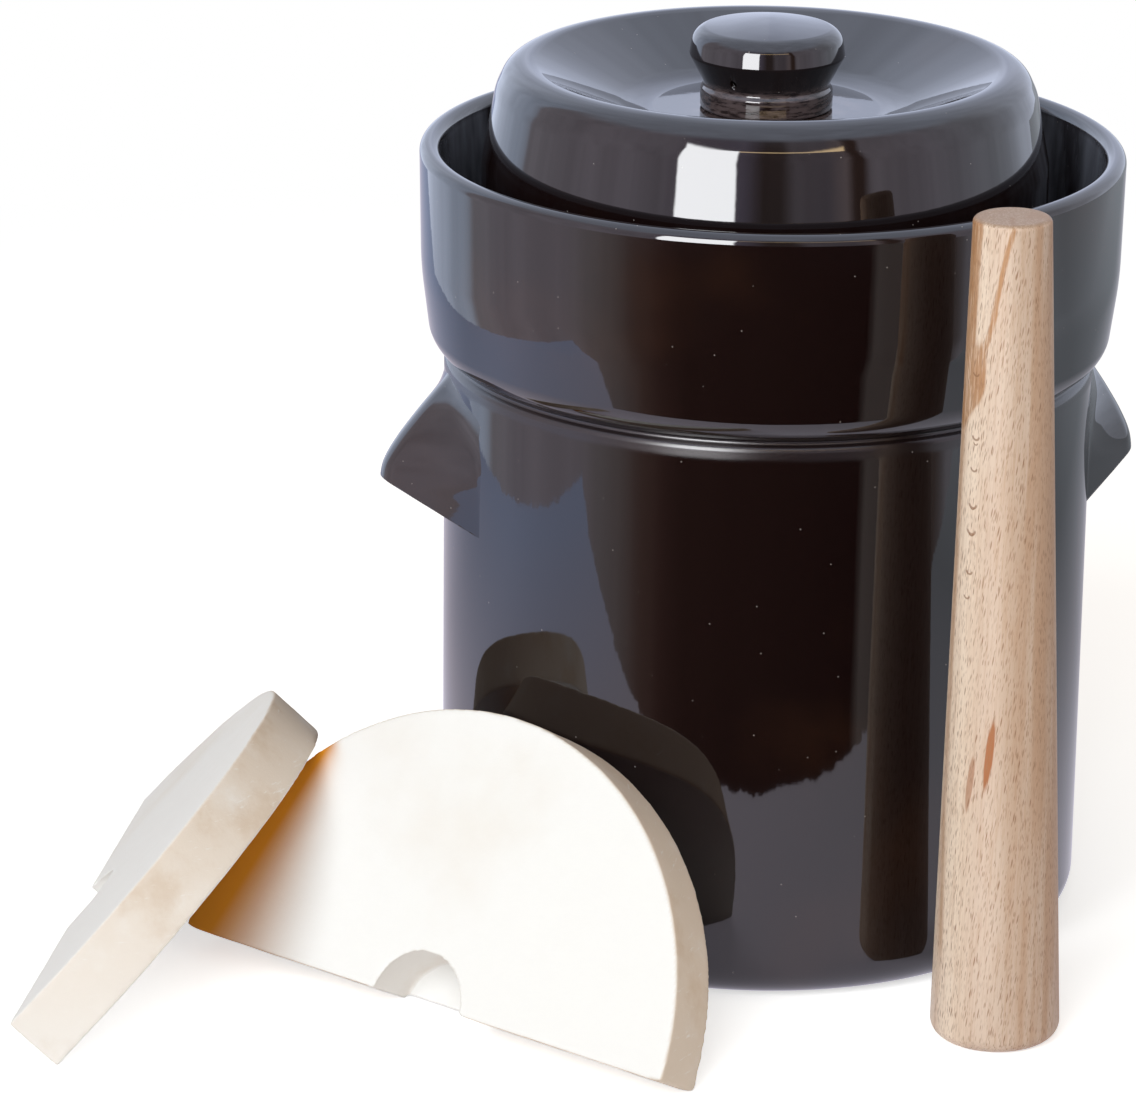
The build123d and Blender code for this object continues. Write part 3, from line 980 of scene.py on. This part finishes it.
# Floor: pale, and fading into the background. What the glaze mirrors is a table with its own ragged edges.
stage = {
    "size": 6.0,
    "fade": (0.30, 0.9),              # from the axis
    "colour": (0.93, 0.93, 0.93),
    "lift": 0.60,                     # added for the camera alone, so that the shadows stay light
    "white": (1, 1, 1, 1),
    "tableLeft": -0.55,
    "tableFront": -0.295,
    "tableRight": 1.3,
    "tableBack": 2.5,
    "tableHeight": 0.0002,
    "margin": 0.02,                   # of the plane past the ragged edge
    "ragged": 0.030,
    "raggedNoise": (26.0, 4.0, 0.7),
    "rampAcross": (-0.5, 1.0),        # where the table's colours begin and end
    "litColours": [(0.0, (0.46, 0.54, 0.74)), (0.187, (0.46, 0.44, 0.52)), (0.333, (0.40, 0.385, 0.46)),
                   (0.667, (0.24, 0.265, 0.30))],
    "litGain": 1.5,
    "litFade": (0.0, 0.25),
    "litLoss": 0.30,                  # share lost towards the back
    "glowColours": [(0.0, (0.42, 0.52, 0.84)), (0.187, (0.66, 0.63, 0.78)), (0.333, (0.67, 0.64, 0.75)),
                    (0.62, (0.35, 0.40, 0.46)), (0.76, (0.72, 0.79, 0.90))],
    "glowGain": 1.05,
    "glowFade": (-0.05, 0.25),
    "glowLoss": 0.40,
}


def planeOf(name, left, right, front, back, height, material):
    mesh = bmesh.new()
    bmesh.ops.create_grid(mesh, x_segments=1, y_segments=1, size=0.5)
    bmesh.ops.scale(mesh, verts=mesh.verts, vec=(right - left, back - front, 1))
    bmesh.ops.translate(mesh, verts=mesh.verts, vec=((left + right) / 2, (front + back) / 2, height))
    piece = objectOf(name, mesh)
    piece.data.materials.append(material)
    return piece


def makeFloorMaterial(s):
    material, tree = emptyMaterial("floorWhite")
    toCamera = addNode(tree, "ShaderNodeLightPath").outputs["Is Camera Ray"]
    diffuse = addNode(tree, "ShaderNodeBsdfDiffuse", {"Color": (*s["colour"], 1)}).outputs[0]
    lifted = addedUp(tree, diffuse, glowOf(tree, s["white"], product(tree, toCamera, s["lift"])))
    fade = product(tree, between(tree, lengthOf(tree, placed(tree)), *s["fade"]), toCamera)
    mix = mixedBy(tree, fade, lifted, glowOf(tree, s["white"], 1.0))
    addNode(tree, "ShaderNodeOutputMaterial", {"Surface": mix})
    return material


def makeTableMaterial(s):
    material, tree = emptyMaterial("tableInGlaze")
    place = placed(tree)
    across, deep, height = axesOf(tree, place)
    share = spread(tree, across, *s["rampAcross"])

    def fading(name):
        gain = s[name + "Gain"]
        return scaled(tree, between(tree, deep, *s[name + "Fade"]), -s[name + "Loss"] * gain, gain)

    bright = dimmed(tree, rampOf(tree, share, s["litColours"]), fading("lit"))
    lit = addNode(tree, "ShaderNodeBsdfDiffuse", {"Color": bright}).outputs[0]
    light = addedUp(tree, lit, glowOf(tree, rampOf(tree, share, s["glowColours"]), fading("glow")))
    torn = scaled(tree, noiseOf(tree, place, *s["raggedNoise"]), s["ragged"], -s["ragged"] / 2)
    pastLeft = calc(tree, "GREATER_THAN", calc(tree, "ADD", across, torn), s["tableLeft"] + s["ragged"] / 2)
    pastFront = calc(tree, "GREATER_THAN", calc(tree, "ADD", deep, torn), s["tableFront"] + s["ragged"] / 4)
    clear = addNode(tree, "ShaderNodeBsdfTransparent").outputs[0]
    mix = mixedBy(tree, product(tree, pastLeft, pastFront), clear, light)
    addNode(tree, "ShaderNodeOutputMaterial", {"Surface": mix})
    return material


size = stage["size"]
floor = planeOf("floor", -size, size, -size, size, 0.0, makeFloorMaterial(stage))
floor.visible_glossy = False
table = planeOf("tableInGlaze", stage["tableLeft"] - stage["margin"], stage["tableRight"],
                stage["tableFront"] - stage["margin"], stage["tableBack"], stage["tableHeight"],
                makeTableMaterial(stage))
table.visible_camera = table.visible_diffuse = table.visible_shadow = table.visible_transmission = False

# Surroundings that the glaze mirrors, by bearing in degrees from the front, positive to the right
room = {
    "low": [(-180, (0.60, 0.66, 0.82)), (-150, (0.62, 0.69, 0.87)), (-122, (0.62, 0.72, 0.92)),
            (-116, (0.60, 0.68, 0.85)), (-113, (0.40, 0.39, 0.44)), (-98, (0.45, 0.42, 0.49)),
            (-71, (0.50, 0.46, 0.53)), (-60, (0.40, 0.37, 0.39)), (-52, (0.31, 0.27, 0.27)),
            (-44, (0.16, 0.105, 0.09)), (-36, (0.08, 0.045, 0.038)), (-28, (0.035, 0.02, 0.016)),
            (33, (0.005, 0.003, 0.003)), (34.5, (0.20, 0.18, 0.17)), (62, (0.16, 0.13, 0.12)),
            (66, (0.42, 0.41, 0.46)), (88, (0.44, 0.45, 0.51)), (100, (0.56, 0.61, 0.69)),
            (138, (0.64, 0.71, 0.82)), (155, (0.62, 0.68, 0.80)), (180, (0.60, 0.66, 0.82))],
    "high": [(-180, (0.53, 0.58, 0.73)), (-150, (0.70, 0.78, 0.96)), (-122, (0.64, 0.74, 0.94)),
             (-116, (0.62, 0.70, 0.88)), (-113, (0.44, 0.42, 0.48)), (-60, (0.55, 0.51, 0.60)),
             (-42, (0.48, 0.45, 0.53)), (-34, (0.34, 0.31, 0.39)), (-9, (0.30, 0.28, 0.38)),
             (0, (0.09, 0.08, 0.08)), (8, (0.10, 0.09, 0.09)), (12, (0.29, 0.27, 0.31)),
             (27, (0.28, 0.26, 0.31)), (34, (0.45, 0.37, 0.39)), (37, (0.10, 0.07, 0.06)),
             (41, (0.10, 0.07, 0.06)), (44, (0.46, 0.42, 0.48)), (70, (0.50, 0.47, 0.55)),
             (110, (0.50, 0.53, 0.61)), (130, (0.60, 0.65, 0.77)), (155, (0.56, 0.61, 0.74)),
             (180, (0.50, 0.55, 0.70))],
    "change": (-18.0, -12.5),         # degrees up, where low gives way to high
    "overhead": (33.0, 54.0),         # degrees up, where that gives way to the ceiling
    "overheadColour": (0.64, 0.71, 0.87),
    "strength": 2.0,
    "window": (-36.0, -11.5, 0.6),    # left, right and how soft the edge is, in degrees
    "windowHeights": (-13.5, 33.0, 0.6),
    "windowColour": (0.97, 0.985, 1, 1),
    "windowStrength": 14.5,
    "line": (-11.5, 36.0, 0.6),
    "lineHeights": (31.0, 32.8, 0.5),
    "lineColour": (1.0, 0.72, 0.38, 1),
    "lineStrength": 7.0,
    "squash": 0.35,
    "uneven": 0.35,
    "unevenNoise": (5.0, 4.0, 0.6),
    "bend": 5.0,                      # degrees that the edges wander
    "bendNoise": (7.0, 5.0, 0.65),
    "fill": (0.47, 0.43, 0.385, 1),
    "fillBehind": 0.72,               # strength behind the jar, where it is 1 before it
    "fillFronts": (-0.8, 0.4),
    "white": (1, 1, 1, 1),
}


def makeWorld(r):
    world = bpy.data.worlds.new("studio")
    bpy.context.scene.world = world
    tree = newTree(world)
    coords = addNode(tree, "ShaderNodeTexCoord").outputs["Generated"]
    right, back, up = axesOf(tree, coords)
    front = product(tree, back, -1.0)
    bearing = product(tree, calc(tree, "ARCTAN2", right, front), 180 / math.pi)
    upward = product(tree, calc(tree, "ARCSINE", up), 180 / math.pi)
    streaky = mapped(tree, coords, scale=(1, 1, r["squash"]))
    wander = scaled(tree, noiseOf(tree, streaky, *r["bendNoise"]), r["bend"], -r["bend"] / 2)
    share = scaled(tree, calc(tree, "ADD", bearing, wander), 1 / 360, 0.5)
    ramps = [rampOf(tree, share, [((degrees + 180) / 360, colour) for degrees, colour in r[key]])
             for key in ("low", "high")]
    colour = blendColours(tree, between(tree, upward, *r["change"]), *ramps)
    colour = tinted(tree, colour, r["overheadColour"], between(tree, upward, *r["overhead"]))
    patchy = scaled(tree, noiseOf(tree, streaky, *r["unevenNoise"]), 2 * r["uneven"], 1 - r["uneven"])

    def glowing(shade, strength):
        return addNode(tree, "ShaderNodeBackground", {"Color": shade, "Strength": strength}).outputs[0]

    def lampIn(name):
        seen = product(tree, inside(tree, bearing, *r[name]), inside(tree, upward, *r[name + "Heights"]))
        return glowing(r[name + "Colour"], product(tree, seen, r[name + "Strength"]))

    seen = glowing(dimmed(tree, colour, patchy), r["strength"])
    for name in ("window", "line"):
        seen = addedUp(tree, seen, lampIn(name))
    fromFront = spread(tree, front, *r["fillFronts"], r["fillBehind"])
    path = addNode(tree, "ShaderNodeLightPath").outputs
    plain = calc(tree, "MAXIMUM", path["Is Camera Ray"], path["Is Transmission Ray"])
    lit = mixedBy(tree, path["Is Glossy Ray"], glowing(r["fill"], fromFront), seen)
    shown = mixedBy(tree, plain, lit, glowing(r["white"], 1.0))
    addNode(tree, "ShaderNodeOutputWorld", {"Surface": shown})


makeWorld(room)

keyLamp = {
    "place": (-0.62, -1.66, 1.42),
    "aim": (-0.05, 0.0, 0.10),
    "size": 1.3,
    "watts": 31.0,
    "colour": (0.95, 0.985, 1.0),
}


def makeLamp(name, v):
    light = bpy.data.lights.new(name, "AREA")
    light.size, light.energy, light.color = v["size"], v["watts"], v["colour"]
    lamp = bpy.data.objects.new(name, light)
    bpy.context.scene.collection.objects.link(lamp)
    lamp.location = v["place"]
    lamp.rotation_euler = (Vector(v["aim"]) - Vector(v["place"])).to_track_quat("-Z", "Y").to_euler()
    lamp.visible_glossy = False


makeLamp("keyLamp", keyLamp)
print("stage")

view = {
    "place": (0.0, -1.71246, 0.69810),
    "turnDegrees": 2.146,
    "downDegrees": 18.834,
    "rollDegrees": 0.614,
    "lens": 174.4,
    "sensor": 36.0,
    "clip": (0.05, 50.0),
}


def makeCamera(v):
    camera = bpy.data.objects.new("camera", bpy.data.cameras.new("camera"))
    bpy.context.scene.collection.objects.link(camera)
    bpy.context.scene.camera = camera
    camera.data.sensor_width, camera.data.lens = v["sensor"], v["lens"]
    camera.data.clip_start, camera.data.clip_end = v["clip"]
    camera.matrix_world = (Matrix.Translation(v["place"])
                           @ Matrix.Rotation(math.radians(v["turnDegrees"]), 4, "Z")
                           @ Matrix.Rotation(math.radians(90 - v["downDegrees"]), 4, "X")
                           @ Matrix.Rotation(math.radians(v["rollDegrees"]), 4, "Z"))


makeCamera(view)
bpy.context.scene.view_settings.view_transform = "Standard"
